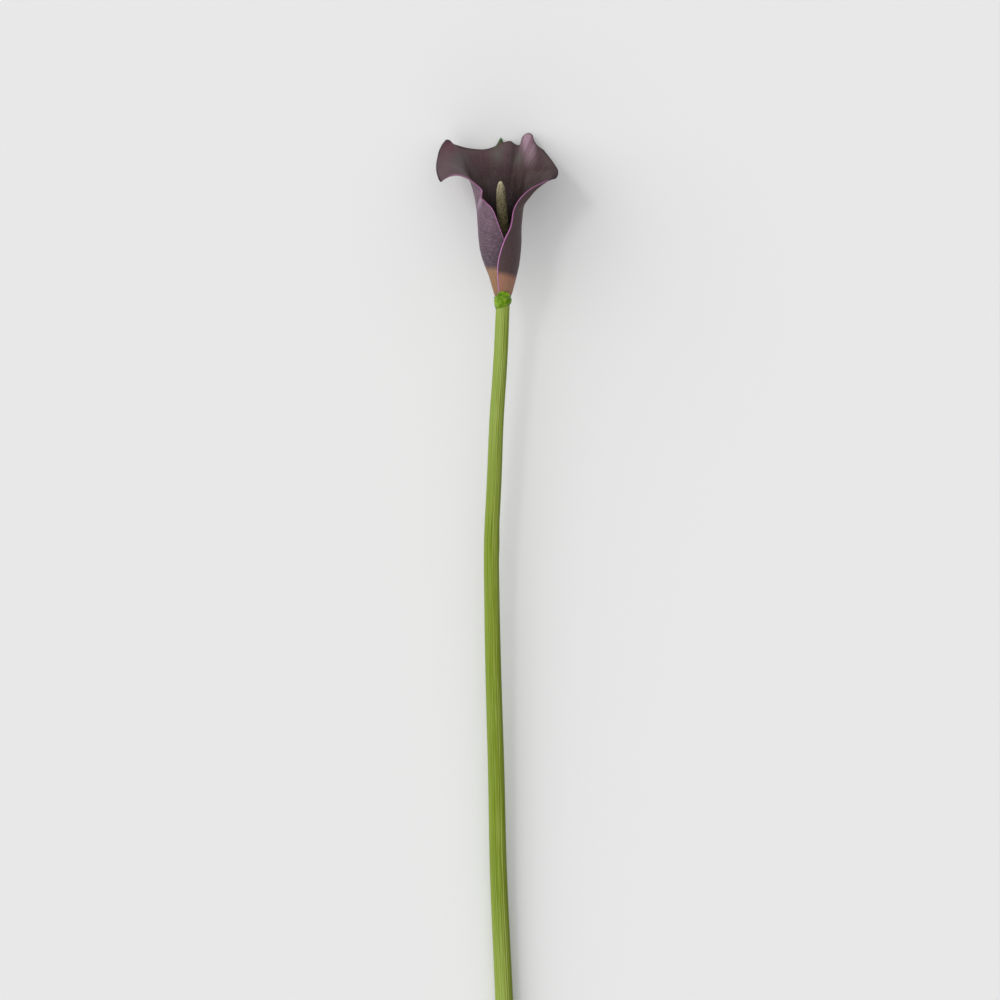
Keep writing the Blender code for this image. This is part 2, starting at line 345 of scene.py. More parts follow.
# The cut end, from its rim to its middle: share of the radius, and how far in it lies.
CUT_RINGS = ((0.985, 0.0), (0.94, 0.1), (0.85, 0.35), (0.7, 0.5), (0.5, 0.6), (0.25, 0.65), (0.0, 0.65))
CUT_FLESH = 0.95  # the skin ends and the flesh begins at this share of the radius

FLOOR_SIZE = 8.0
VIEW_CENTRE = (0.0017, 0.0998, 0.032)
LENS = 400.0  # long, so that what lies lower isn't drawn smaller
SENSOR = 36.0
KEY_FROM = (-0.85, 0.30, 0.42)
KEY_SPREAD = 60.0  # degrees across, as a large softbox
GLINT_FROM = (-0.45, 0.35, 0.82)
GLINT_SPREAD = 10.0


# ---- Small helpers -----------------------------------------------------------------------------------


def linear(code):
    """Linear RGBA of an sRGB hex colour."""
    channels = [int(code[i : i + 2], 16) / 255 for i in (1, 3, 5)]
    return [c / 12.92 if c <= 0.04045 else ((c + 0.055) / 1.055) ** 2.4 for c in channels] + [1.0]


def colour_property(name, description, code):
    return bpy.props.FloatVectorProperty(
        name=name,
        description=description,
        subtype="COLOR",
        size=4,
        min=0.0,
        max=1.0,
        default=linear(code),
    )


def length_property(name, description, millimetres):
    return bpy.props.FloatProperty(
        name=name, description=description, default=millimetres * MM, min=0.0, unit="LENGTH", precision=5
    )


def along(table, at):
    """Smooth values of a table of (place, value, ...) rows at places: a curve through every row."""
    rows = np.array([np.hstack(row) for row in table], float)
    places, values = rows[:, 0], rows[:, 1:]
    at = np.clip(np.asarray(at, float), places[0], places[-1])
    k = np.clip(np.searchsorted(places, at) - 1, 0, len(places) - 2)
    slopes = np.gradient(values, places, axis=0)
    span = (places[k + 1] - places[k])[..., None]
    t = (at - places[k])[..., None] / span
    here = (1 + 2 * t) * (1 - t) ** 2 * values[k] + t * (1 - t) ** 2 * span * slopes[k]
    there = t * t * (3 - 2 * t) * values[k + 1] - t * t * (1 - t) * span * slopes[k + 1]
    found = here + there
    return found[..., 0] if values.shape[1] == 1 else found


def unit(vectors):
    return vectors / np.maximum(np.linalg.norm(vectors, axis=-1, keepdims=True), 1e-12)


def smooth(low, high, value):
    """0 on the far side of low, 1 past high, and an even ease between them."""
    share = np.clip((value - low) / (high - low), 0, 1)
    return share * share * (3 - 2 * share)


def bump_at(centre, width, value):
    """A bell of height 1 round centre."""
    return np.exp(-0.5 * ((value - centre) / width) ** 2)


def to_model(points):
    """Places in millimetres from the flower's own zero, as places in the model."""
    return points * MM + np.array(HEAD)


def grid(points, floats=None, vectors=None):
    """A bmesh sheet through points[row, column], with its attributes and its UV map."""
    rows, columns = points.shape[0] - 1, points.shape[1] - 1
    bm = bmesh.new()
    bm.loops.layers.uv.new("UVMap")
    fields = [(bm.verts.layers.float.new(key), field) for key, field in (floats or {}).items()]
    fields += [(bm.verts.layers.float_vector.new(key), field) for key, field in (vectors or {}).items()]
    bmesh.ops.create_grid(bm, x_segments=columns, y_segments=rows, size=1, calc_uvs=True)
    for vert in bm.verts:
        column = round((vert.co.x + 1) / 2 * columns)
        row = round((vert.co.y + 1) / 2 * rows)
        vert.co = points[row, column]
        for layer, field in fields:
            vert[layer] = field[row, column]
    return bm


def close_seams(bm):
    bmesh.ops.remove_doubles(bm, verts=bm.verts, dist=WELD)
    bmesh.ops.recalc_face_normals(bm, faces=bm.faces)


def new_piece(name, bm, node, materials):
    """A finished piece from a bmesh, riding on the flower in the place of its CAD node."""
    mesh = bpy.data.meshes.new(name)
    bm.to_mesh(mesh)
    bm.free()
    mesh.shade_smooth()
    for material in materials:
        mesh.materials.append(material)
    piece = bpy.data.objects.new(name, mesh)
    bpy.context.collection.objects.link(piece)
    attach(piece, "root")
    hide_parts(node)
    return piece


def new_material(name):
    """An empty material and its node tree."""
    material = bpy.data.materials.new(name)
    material.use_nodes = True
    material.node_tree.nodes.clear()
    return material, material.node_tree


def add(tree, kind, sockets=None, stops=(), **settings):
    """Add a node. Each of its sockets takes a value or a link; stops fill a colour ramp.

    Map Range nodes are given by number: 0 is the value, 1 and 2 the range it comes from, 3 and 4 the range
    it goes to.
    """
    node = tree.nodes.new(kind)
    for setting, value in settings.items():
        setattr(node, setting, value)
    for socket, value in (sockets or {}).items():
        if isinstance(value, bpy.types.NodeSocket):
            tree.links.new(value, node.inputs[socket])
        else:
            node.inputs[socket].default_value = value
    for index, (place, colour) in enumerate(stops):
        elements = node.color_ramp.elements
        element = elements[index] if index < 2 else elements.new(place)
        element.position = place
        element.color = colour
    return node


def layered(tree, base, layers):
    """Colour of a base with layers of (mask socket, colour or colour socket) laid over it in order."""
    for mask, colour in layers:
        mixed = add(tree, "ShaderNodeMix", {0: mask, 6: base, 7: colour}, data_type="RGBA")
        base = mixed.outputs[2]
    return base


def grey_stops(*places):
    """Ramp stops from black at the first place to white at the second."""
    low, high = places
    return ((low, (0, 0, 0, 1)), (high, (1, 1, 1, 1)))


# ---- Spathe ------------------------------------------------------------------------------------------


def tube_row(across, height):
    """The sheet's middle surface in the rolled tube. across runs from 0, the left edge, to 1."""
    left, right = along(LEFT_REACH, height), along(RIGHT_REACH, height)
    off = across - 0.5
    angle = np.radians(270 + (left + right) * off + 2 * (right - left) * off**2)
    radius = along(TUBE_RADIUS, height) + WRAP_STEP * off
    x = along(TUBE_MIDDLE, height) + radius * np.cos(angle)
    return np.stack((x, np.full_like(across, height), HEAD_LEAN * height + radius * np.sin(angle)), -1)


def flare_row(across, share):
    """The sheet's middle surface from the top of the tube, share 0, to the rim, share 1."""
    foot = tube_row(across, TUBE_TOP)
    from_tube = foot + unit(foot - tube_row(across, TUBE_TOP - 1)) * FLARE_RISE
    row = along(RIM, across)
    rim, run = row[:, :3], row[:, 3:]
    back = 1 - share
    return (
        back**3 * foot
        + 3 * back**2 * share * from_tube
        + 3 * back * share**2 * (rim - run)
        + share**3 * rim
    )


def tip_weight(across):
    return np.maximum(0, 1 - np.abs(across - TIP_AT) / TIP_HALF_WIDTH) ** TIP_SHARPNESS


def roll_row(across, share):
    """The last of the sheet, rolled back and under past the rim, and drawn out into the tip."""
    rim = flare_row(across, 1.0)
    step = 0.002
    outward = unit(rim - flare_row(across, 1 - step))
    sideways = flare_row(np.minimum(1, across + step), 1.0) - flare_row(np.maximum(0, across - step), 1.0)
    under = unit(np.cross(outward, sideways))
    angle = (np.radians(ROLL_ANGLE) * share * np.sin(np.pi * across) ** 0.5)[:, None]
    rolled = rim + ROLL_RADIUS * (np.sin(angle) * outward + (1 - np.cos(angle)) * under)
    return rolled + (tip_weight(across) * share)[:, None] * np.array(TIP_PULL)


def column_places():
    """Share across of each column of the sheet, closer together where it bends sharply."""
    fine = np.linspace(0, 1, COLUMN_SAMPLES)
    density = 1 + sum(extra * bump_at(at, width, fine) for at, width, extra in CROWDING)
    counted = np.concatenate(([0], np.cumsum((density[1:] + density[:-1]) / 2)))
    return np.interp(np.linspace(0, counted[-1], SPATHE_COLUMNS + 1), counted, fine)


def sheet_points():
    """The spathe's middle surface as points[row, column], with the share across of each column."""
    across = column_places()
    rows = [
        tube_row(across, SHEET_FOOT + (TUBE_TOP - SHEET_FOOT) * share)
        for share in np.linspace(0, 1, TUBE_ROWS + 1) ** TUBE_ROW_CROWDING
    ]
    rows += [flare_row(across, share) for share in np.linspace(0, 1, FLARE_ROWS + 1)[1:]]
    rows += [roll_row(across, share) for share in np.linspace(0, 1, ROLL_ROWS + 1)[1:]]
    points = np.array(rows)
    off = (points[..., 1] - JOG_HEIGHT) / JOG_REACH
    near_edge = np.maximum(0, 1 - across / JOG_WIDTH) ** 2
    points[..., 0] += JOG_SHIFT * off * np.exp(0.5 - 0.5 * off * off) * near_edge
    points[..., 0] += JOG_PULL * bump_at(JOG_PULL_HEIGHT, JOG_PULL_REACH, points[..., 1]) * near_edge
    for share, reach, height, spread, push in FLANKS:
        points[..., 0] += push * bump_at(share, reach, across) * bump_at(height, spread, points[..., 1])
    return points, across


def distance_along(points, axis):
    """Length in millimetres from the first row or column of points, along each line of them."""
    steps = np.linalg.norm(np.diff(points, axis=axis), axis=-1)
    start = np.zeros_like(np.take(steps, [0], axis=axis))
    return np.concatenate((start, np.cumsum(steps, axis=axis)), axis=axis)


def softened(field):
    """The field averaged with its neighbours along each row, a few times over."""
    for _ in range(SOFTEN_PASSES):
        wide = np.pad(field, ((0, 0), (1, 1)), mode="edge")
        field = (wide[:, :-2] + wide[:, 1:-1] + wide[:, 2:]) / 3
    return field


def crease_at(points, across):
    """How near each point is to the crest of the crease that runs down from the jog, 0 to 1."""
    x, y = points[..., 0], points[..., 1]
    start, end = np.array(CREASE[0]), np.array(CREASE[1])
    span = end - start
    share = ((x - start[0]) * span[0] + (y - start[1]) * span[1]) / (span @ span)
    aside = ((x - start[0]) * span[1] - (y - start[1]) * span[0]) / np.linalg.norm(span)
    fading = np.exp(-np.maximum(0, share - CREASE_FADE_FROM) ** 2 * CREASE_FADE)
    fading = fading * smooth(*CREASE_START, share)
    return bump_at(0, CREASE_WIDTH, aside) * fading * (across < CREASE_ACROSS)


def relief(points, across, crease, to_left, to_right):
    """How far the sheet's surface stands out from its plain curve, in millimetres, at each point."""
    y = points[..., 1]
    swell = SWELL_HEIGHT
    for sideways, upwards, start in SWELL_WAVES:
        swell = swell * np.sin(sideways * across + upwards * y + start)
    height = swell * smooth(0, SWELL_EDGE, np.minimum(to_left, to_right)) * smooth(*SWELL_UP, y)
    height += CREASE_HEIGHT * crease
    right_lip = np.maximum(0, 1 - to_right / RIGHT_LIP_REACH) ** 2
    left_lip = np.maximum(0, 1 - to_left / LEFT_LIP_REACH) ** 2
    height += EDGE_LIP * right_lip * smooth(*RIGHT_LIP_UP, y) * smooth(*RIGHT_LIP_DOWN, y)
    height += 0.5 * EDGE_LIP * left_lip * smooth(*LEFT_LIP_UP, y)
    return height


def sheet_thickness(to_left, to_right, to_rim, y):
    """Thickness in millimetres: fuller along the front edges, rounded off where the sheet ends."""
    lip = np.exp(-((to_right / LIP_WIDTH) ** 2)) * smooth(*LIP_UP, y) * smooth(*LIP_DOWN, y)
    nearest = np.minimum(np.minimum(to_left, to_right), to_rim)
    nose = np.clip(nearest / EDGE_ROUND, 0, 1)
    rounded = np.sqrt(np.maximum(EDGE_THINNEST, 1 - (1 - nose) ** 2))
    return (SHEET_THICKNESS + LIP_THICKNESS * lip) * rounded


def spathe_mesh():
    """The bmesh of the sheet, with its thickness in millimetres and its tints at each vertex."""
    points, across = sheet_points()
    from_left = distance_along(points, 1)
    to_right = from_left[:, -1:] - from_left
    from_foot = distance_along(points, 0)
    to_rim = from_foot[-1:] - from_foot
    outside = unit(np.cross(np.gradient(points, axis=0), np.gradient(points, axis=1)))
    y = points[..., 1].copy()
    crease = crease_at(points, across)
    height = relief(points, across, crease, from_left, to_right)
    points = points + outside * height[..., None]
    shares = np.broadcast_to(across, y.shape)
    turn_height = TURN_HEIGHT + TURN_DROP * smooth(*TURN_DROP_ACROSS, shares)
    turn_height = turn_height + TURN_RISE * smooth(*TURN_RISE_ACROSS, shares)
    x = points[..., 0]
    hollow = bump_at(*HOLLOW[:2], x) * bump_at(*HOLLOW[2:], y)
    edge = np.minimum(from_left, to_right)
    dusty = along(WING_DUST, shares) * smooth(*DUST_UP, y) * smooth(*DUST_DOWN, y)
    turned_down = softened(smooth(*TURNED_DOWN, -outside[..., 2]) * smooth(*TURNED_TO_RIM, to_rim))
    floats = {
        "up": y / 100,
        # Painted shade along the rolled rim, where the sheet turns away from the light.
        "outline": np.maximum(smooth(*RIM_SHADE_TO_RIM, to_rim), turned_down),
        "margin": smooth(*MARGIN_TO_EDGE, edge) * smooth(*MARGIN_TO_RIM, to_rim),
        "edge_mm": edge,
        "tint_mm": y - turn_height,
        "dust": dusty + HOLLOW_DUST * hollow,
        # Painted highlight: the fold below the right ear is lightened in a soft upright strip, as if it
        # caught the light.
        "fold": smooth(*FOLD_LEFT, x) * smooth(*FOLD_RIGHT, x) * smooth(*FOLD_UP, y),
        "dull": sum(bump_at(px, size, x) * bump_at(py, 1.5 * size, y) for px, py, size in DULL_PATCHES),
        "side": smooth(*RIGHT_SIDE, shares),
        "crease": crease,
        "thickness": sheet_thickness(from_left, to_right, to_rim, y),
    }
    for key, (strength, at, reach, down) in RIM_TINTS.items():
        floats[key] = strength * bump_at(at, reach, shares) * np.exp(-((to_rim / down) ** 2))
    fan = np.stack((shares * SKIN_WIDTH, from_foot, np.zeros_like(y)), -1)
    return grid(to_model(points), floats, {"skin_mm": fan})


def spathe_inside(settings):
    """Spathe skin, inner face: living leaf-like tissue grown smooth and waxy.

    It gives the eye a soft satin, darkest in the throat partly by painted shade, with faint lengthwise veins
    and dull blotches.
    """
    material, tree = new_material("Calla spathe skin, waxy inner face")
    up, outline, margin, left_ear, right_ear, right_flush, dust, fold, dull, tip = (
        add(tree, "ShaderNodeAttribute", attribute_name=name).outputs["Fac"]
        for name in "up outline margin left_ear right_ear right_flush dust fold dull tip".split()
    )
    skin = add(tree, "ShaderNodeAttribute", attribute_name="skin_mm").outputs["Vector"]
    place = add(tree, "ShaderNodeTexCoord").outputs["Object"]

    # Deep purple-brown that darkens into the throat: partly the tissue's own colour, partly painted shade.
    throat_colour_and_shade = add(
        tree,
        "ShaderNodeValToRGB",
        {0: up},
        stops=(
            (0.18, settings.throat),
            (0.50, linear("#150e0d")),
            (0.68, linear("#291d19")),
            (0.80, settings.inside),
            (0.97, linear("#553a42")),
        ),
    ).outputs[0]
    # Veins about 0.6 mm apart that run the length of the sheet.
    vein_place = add(tree, "ShaderNodeMapping", {"Vector": skin, "Scale": (1.7, 0.05, 1.0)}).outputs[0]
    veins = add(tree, "ShaderNodeTexNoise", {"Vector": vein_place, "Scale": 1.0, "Detail": 5.0}).outputs[0]
    vein_mask = add(tree, "ShaderNodeValToRGB", {0: veins}, stops=grey_stops(0.42, 0.72)).outputs[0]
    # Specks about 0.8 mm apart.
    grain = add(tree, "ShaderNodeTexNoise", {"Vector": place, "Scale": 1300.0, "Detail": 3.0}).outputs[0]
    specks = add(tree, "ShaderNodeMapRange", {0: grain, 1: 0.5, 2: 0.68, 3: 0.0, 4: 0.38}).outputs[0]
    # Blotches 10 to 20 mm across.
    blotches = add(tree, "ShaderNodeTexNoise", {"Vector": place, "Scale": 75.0, "Detail": 4.0}).outputs[0]
    blotch_mask = add(tree, "ShaderNodeValToRGB", {0: blotches}, stops=grey_stops(0.46, 0.66)).outputs[0]
    on_wing = add(tree, "ShaderNodeMapRange", {0: up, 1: 0.6, 2: 0.85, 3: 0.0, 4: 0.55}).outputs[0]
    # Bloom, flush and blush lie in faint streaks, and the painted highlight on the fold breaks into them.
    streaky = add(tree, "ShaderNodeMapRange", {0: veins, 1: 0.35, 2: 0.65, 3: 0.6, 4: 1.0}).outputs[0]
    broken = add(tree, "ShaderNodeMapRange", {0: veins, 1: 0.4, 2: 0.62, 3: 0.4, 4: 0.9}).outputs[0]
    ears = add(tree, "ShaderNodeMath", {0: left_ear, 1: right_flush}, operation="ADD").outputs[0]
    shares = (
        (blotch_mask, on_wing),
        (vein_mask, 0.2),
        (dust, streaky),
        (fold, broken),
        (ears, streaky),
        (right_ear, streaky),
        (dull, 0.65),
        (outline, 0.9),
    )
    blotch, vein, dusty, fold_highlight, red, lilac, duller, outline = (
        add(tree, "ShaderNodeMath", {0: mask, 1: share}, operation="MULTIPLY").outputs[0]
        for mask, share in shares
    )
    colour = layered(
        tree,
        throat_colour_and_shade,
        (
            (blotch, linear("#565049")),
            (vein, linear("#6f5a63")),
            (specks, linear("#5d4b50")),
            (dusty, settings.dust),
            # painted highlight on the fold
            (fold_highlight, linear("#b49aa7")),
            (red, settings.flush),
            # lilac blush on the right ear, partly painted highlight
            (lilac, settings.blush),
            (duller, linear("#57564f")),
            # painted shade on the rolled rim
            (outline, linear("#241a1f")),
            (margin, linear("#8a5c7c")),
            (tip, settings.tip),
        ),
    )
    pores = add(tree, "ShaderNodeBump", {"Height": grain, "Strength": 0.2, "Distance": 0.08 * MM})
    ridges = {"Height": veins, "Strength": 0.3, "Distance": 0.1 * MM, "Normal": pores.outputs[0]}
    normal = add(tree, "ShaderNodeBump", ridges).outputs[0]
    shader = add(
        tree,
        "ShaderNodeBsdfPrincipled",
        {
            "Base Color": colour,
            "Roughness": 0.55,
            "IOR": 1.42,
            "Specular IOR Level": 0.2,
            "Normal": normal,
        },
    )
    add(tree, "ShaderNodeOutputMaterial", {"Surface": shader.outputs[0]})
    return material


def spathe_outside(settings):
    """Spathe skin, outer face: the same tissue, with a dusty bloom and fine cross wrinkles.

    It gives the eye a lilac-grey satin over a tan foot, and creases lit and shaded with painted highlight and
    shade.
    """
    material, tree = new_material("Calla spathe skin, wrinkled outer face")
    up, from_edge, tint, side, crease, tip = (
        add(tree, "ShaderNodeAttribute", attribute_name=name).outputs["Fac"]
        for name in "up edge_mm tint_mm side crease tip".split()
    )
    skin = add(tree, "ShaderNodeAttribute", attribute_name="skin_mm").outputs["Vector"]
    place = add(tree, "ShaderNodeTexCoord").outputs["Object"]

    purple = add(
        tree,
        "ShaderNodeValToRGB",
        {0: up},
        stops=((0.16, settings.outside), (0.45, linear("#4c3b44")), (0.75, linear("#3c2d34"))),
    ).outputs[0]
    # Streaks about 1.5 mm apart in the tan foot.
    streak_place = add(tree, "ShaderNodeMapping", {"Vector": skin, "Scale": (0.75, 0.06, 1.0)}).outputs[0]
    streaks = {"Vector": streak_place, "Scale": 1.0, "Detail": 3.0}
    streaks = add(tree, "ShaderNodeTexNoise", streaks).outputs[0]
    streak_mask = add(tree, "ShaderNodeValToRGB", {0: streaks}, stops=grey_stops(0.48, 0.62)).outputs[0]
    foot_stops = ((0.0, linear("#8c6c50")), (0.08, settings.foot))
    foot = add(tree, "ShaderNodeValToRGB", {0: up}, stops=foot_stops).outputs[0]
    foot = layered(tree, linear("#846347"), ((side, foot), (streak_mask, linear("#96745a"))))
    wander = add(tree, "ShaderNodeMath", {0: streaks, 1: 2.4, 2: tint}, operation="MULTIPLY_ADD").outputs[0]
    turned = add(tree, "ShaderNodeMapRange", {0: wander, 1: -0.4, 2: 3.0}).outputs[0]
    # Slanting wrinkles about 0.6 mm apart, bent by a slow noise.
    bend = add(tree, "ShaderNodeTexNoise", {"Vector": skin, "Scale": 0.07, "Detail": 2.0}).outputs[1]
    bent = {0: bend, 1: (0, 6, 0), 2: skin}
    bent = add(tree, "ShaderNodeVectorMath", bent, operation="MULTIPLY_ADD").outputs[0]
    slanted = {"Vector": bent, "Angle": math.radians(18)}
    slanted = add(tree, "ShaderNodeVectorRotate", slanted, rotation_type="Z_AXIS").outputs[0]
    wrinkle_place = add(tree, "ShaderNodeMapping", {"Vector": slanted, "Scale": (0.3, 1.8, 1.0)}).outputs[0]
    wrinkles = {"Vector": wrinkle_place, "Scale": 1.0, "Detail": 4.0}
    wrinkles = add(tree, "ShaderNodeTexNoise", wrinkles).outputs[0]
    plainer = add(tree, "ShaderNodeMapRange", {0: side, 1: 0.0, 2: 1.0, 3: 1.0, 4: 0.25}).outputs[0]
    # Painted highlight on the tops of the wrinkles and painted shade in the hollows between them, plainer on
    # the right flap.
    crest_highlight = add(tree, "ShaderNodeMapRange", {0: wrinkles, 1: 0.46, 2: 0.7, 3: 0.0, 4: 0.36}).outputs[0]
    trough_shade = add(tree, "ShaderNodeMapRange", {0: wrinkles, 1: 0.48, 2: 0.32, 3: 0.0, 4: 0.26}).outputs[0]
    # Bloom in patches about 6 mm across, thicker towards the wing and fading out towards the right flap.
    bloom = add(tree, "ShaderNodeTexNoise", {"Vector": place, "Scale": 160.0, "Detail": 4.0}).outputs[0]
    bloom = add(tree, "ShaderNodeMapRange", {0: bloom, 1: 0.35, 2: 0.75, 3: 0.25, 4: 0.7}).outputs[0]
    higher = add(tree, "ShaderNodeMapRange", {0: up, 1: 0.24, 2: 0.58, 3: 0.08, 4: 1.0}).outputs[0]
    on_left = add(tree, "ShaderNodeMath", {0: 1.0, 1: side}, operation="SUBTRACT").outputs[0]
    bloom, crest_highlight, trough_shade, crease_highlight = (
        add(tree, "ShaderNodeMath", {0: mask, 1: share}, operation="MULTIPLY").outputs[0]
        for mask, share in ((bloom, higher), (crest_highlight, plainer), (trough_shade, plainer), (crease, 0.6))
    )
    bloom = add(tree, "ShaderNodeMath", {0: bloom, 1: on_left}, operation="MULTIPLY").outputs[0]
    purple_and_painted_wrinkles = layered(
        tree,
        purple,
        (
            (side, settings.shaded),
            (bloom, settings.bloom),
            # painted shade in the hollows of the wrinkles, painted highlight on their tops and along the
            # crease
            (trough_shade, linear("#3b2c36")),
            (crest_highlight, linear("#8d7691")),
            (crease_highlight, linear("#a48fa0")),
        ),
    )
    flush = add(tree, "ShaderNodeMapRange", {0: from_edge, 1: 0.5, 2: 0.2}).outputs[0]
    colour = layered(tree, foot, ((turned, purple_and_painted_wrinkles), (flush, settings.edge), (tip, settings.tip)))

    creases = add(tree, "ShaderNodeBump", {"Height": wrinkles, "Strength": 0.7, "Distance": 0.3 * MM})
    ridges = {"Height": streaks, "Strength": 0.3, "Distance": 0.1 * MM, "Normal": creases.outputs[0]}
    normal = add(tree, "ShaderNodeBump", ridges).outputs[0]
    shader = add(
        tree,
        "ShaderNodeBsdfPrincipled",
        {
            "Base Color": colour,
            "Roughness": 0.5,
            "IOR": 1.42,
            "Specular IOR Level": 0.3,
            "Normal": normal,
        },
    )
    add(tree, "ShaderNodeOutputMaterial", {"Surface": shader.outputs[0]})
    return material


def spathe_edge(settings):
    """Spathe edge: the bare margin of the sheet, where the dark skin stops.

    It gives the eye a smooth pink line along the lap, duller towards the wings.
    """
    material, tree = new_material("Calla spathe margin, bare pink tissue")
    up, outline = (
        add(tree, "ShaderNodeAttribute", attribute_name=name).outputs["Fac"] for name in ("up", "outline")
    )
    skin = add(tree, "ShaderNodeAttribute", attribute_name="skin_mm").outputs["Vector"]
    pink = add(
        tree,
        "ShaderNodeValToRGB",
        {0: up},
        stops=(
            (0.02, linear("#c0a58f")),
            (0.12, linear("#cfa3bd")),
            (0.35, settings.edge),
            (0.58, linear("#80496b")),
            (0.74, linear("#6d475d")),
        ),
    ).outputs[0]
    patches = add(tree, "ShaderNodeTexNoise", {"Vector": skin, "Scale": 0.35, "Detail": 3.0}).outputs[0]
    patch_mask = add(tree, "ShaderNodeMapRange", {0: patches, 1: 0.42, 2: 0.7, 3: 0.0, 4: 0.5}).outputs[0]
    # The rolled rim is darkened with painted shade.
    colour = layered(tree, pink, ((patch_mask, linear("#96617f")), (outline, linear("#241a1f"))))
    shader = add(
        tree,
        "ShaderNodeBsdfPrincipled",
        {"Base Color": colour, "Roughness": 0.45, "IOR": 1.42, "Specular IOR Level": 0.3},
    )
    add(tree, "ShaderNodeOutputMaterial", {"Surface": shader.outputs[0]})
    return material


class CallaSpatheSettings(bpy.types.PropertyGroup):
    thickness: length_property("Thickness", "Thickness of the sheet along its front edge", 1.25)
    inside: colour_property("Inside", "Colour of the open face of the wings", "#3f2c2d")
    # Deep in the trumpet this colour is partly painted shade.
    throat: colour_property("Throat", "Colour deep inside the trumpet", "#0d0907")
    dust: colour_property("Dust", "Colour of the bloom on the open face of the wings", "#725e66")
    flush: colour_property("Flush", "Colour of the flush at the upper left corner", "#642c41")
    # The blush at the upper right corner is partly painted highlight.
    blush: colour_property("Blush", "Colour of the blush at the upper right corner", "#b392a6")
    outside: colour_property("Outside", "Colour of the outer face", "#40353b")
    shaded: colour_property("Right flap", "Colour of the outer face on the right flap", "#4c3b3b")
    bloom: colour_property("Bloom", "Colour of the dusty bloom on the outer face", "#7d6170")
    foot: colour_property("Foot", "Colour of the outer face above the collar", "#966857")
    edge: colour_property("Edge", "Colour of the front edges", "#b070a4")
    tip: colour_property("Tip", "Colour of the green point of the rim", "#3f7a2a")


class CALLA_OT_spathe(bpy.types.Operator):
    """Model the spathe: one leaf-like sheet rolled into a trumpet, its right edge lapped over its left"""

    bl_idname = "calla.spathe"
    bl_label = "Spathe"

    def execute(self, context):
        settings = context.scene.calla_spathe
        materials = (spathe_inside(settings), spathe_outside(settings), spathe_edge(settings))
        piece = new_piece("spathe_sheet", spathe_mesh(), "spathe", materials)
        full = settings.thickness / MM
        group = piece.vertex_groups.new(name="thickness")
        for index, value in enumerate(piece.data.attributes["thickness"].data):
            group.add([index], min(1.0, value.value / full), "REPLACE")
        thick = piece.modifiers.new("thickness", "SOLIDIFY")
        thick.thickness = settings.thickness
        thick.offset = 0
        thick.vertex_group = group.name
        thick.use_quality_normals = True
        thick.material_offset = 1
        thick.material_offset_rim = 2
        return {"FINISHED"}


# ---- Spadix ------------------------------------------------------------------------------------------


def spadix_frame(heights):
    """Middle and radius of the spadix at heights, in millimetres."""
    rows = along(SPADIX, heights)
    middles = np.stack((rows[..., 0], heights, HEAD_LEAN * heights), -1)
    return middles, rows[..., 1]


def floret_places(floret):
    """Matrix, height and shade of each floret, in a spiral up the spadix, with painted shade on its right
    side.
    """
    chance = random.Random(SEED)
    height, turn = FLORETS_FROM, 0.0
    to_flower = Matrix.Translation(HEAD) @ Matrix.Scale(MM, 4)
    while height < FLORETS_TO:
        middle, radius = spadix_frame(np.array(height))
        below, above = spadix_frame(np.array([height - 0.5, height + 0.5]))[1]
        spacing = floret * (1 - FLORET_TAPER * smooth(FLORET_TAPER_FROM, FLORETS_TO, height))
        out = Vector((math.cos(turn), below - above, math.sin(turn))).normalized()
        size = 0.5 * spacing * chance.uniform(*FLORET_SIZES)
        place = Vector(middle) + Vector((math.cos(turn), 0, math.sin(turn))) * (radius - FLORET_SINK)
        upright = out.to_track_quat("Z", "Y").to_matrix().to_4x4()
        squash = Matrix.Diagonal((size, size, size * FLORET_RISE, 1))
        tone_and_side_shade = chance.random() + SPADIX_SIDE_SHADE * math.cos(turn)
        yield to_flower @ Matrix.Translation(place) @ upright @ squash, height, tone_and_side_shade
        height += FLORET_PACKING * spacing * spacing / (2 * math.pi * radius)
        turn += GOLDEN_ANGLE


def spadix_mesh(floret):
    """A smooth core and its florets, made a few at a time and then joined."""
    shares = np.linspace(0, 1, SPADIX_ROWS + 1) ** SPADIX_ROW_CROWDING
    heights = SPADIX[0][0] + (SPADIX[-1][0] - SPADIX[0][0]) * shares
    middles, radii = spadix_frame(heights)
    radii[0] = radii[-1] = 0.0
    turns = np.linspace(0, 2 * np.pi, SPADIX_COLUMNS + 1)
    ring = np.stack((np.cos(turns), np.zeros_like(turns), np.sin(turns)), -1)
    core = middles[:, None] + radii[:, None, None] * ring[None]
    y = core[..., 1]
    # The core is darkened with painted shade where it shows between the florets.
    tones = {"shade": CORE_SHADE - CORE_PALER * smooth(*CORE_PALER_UP, y), "up": y / 100}
    whole = grid(to_model(core), tones)
    close_seams(whole)
    places = list(floret_places(floret))
    batch = bpy.data.meshes.new("florets")
    for start in range(0, len(places), FLORET_BATCH):
        bm = bmesh.new()
        shade, up = (bm.verts.layers.float.new(key) for key in ("shade", "up"))
        for place, height, tone_and_side_shade in places[start : start + FLORET_BATCH]:
            ball = bmesh.ops.create_uvsphere(
                bm, u_segments=FLORET_SIDES, v_segments=FLORET_RINGS, radius=1, matrix=place
            )
            for vert in ball["verts"]:
                vert[shade] = tone_and_side_shade
                vert[up] = height / 100
        bm.to_mesh(batch)
        bm.free()
        whole.from_mesh(batch)
    bpy.data.meshes.remove(batch)
    # The balls' faces come in an order that changes from run to run, so they are sorted by their corners.
    whole.verts.index_update()
    count = len(whole.verts)

    def place_in_order(face):
        first, second, third = sorted(vert.index for vert in face.verts)[:3]
        return (first * count + second) * count + third

    whole.faces.sort(key=place_in_order)
    return whole


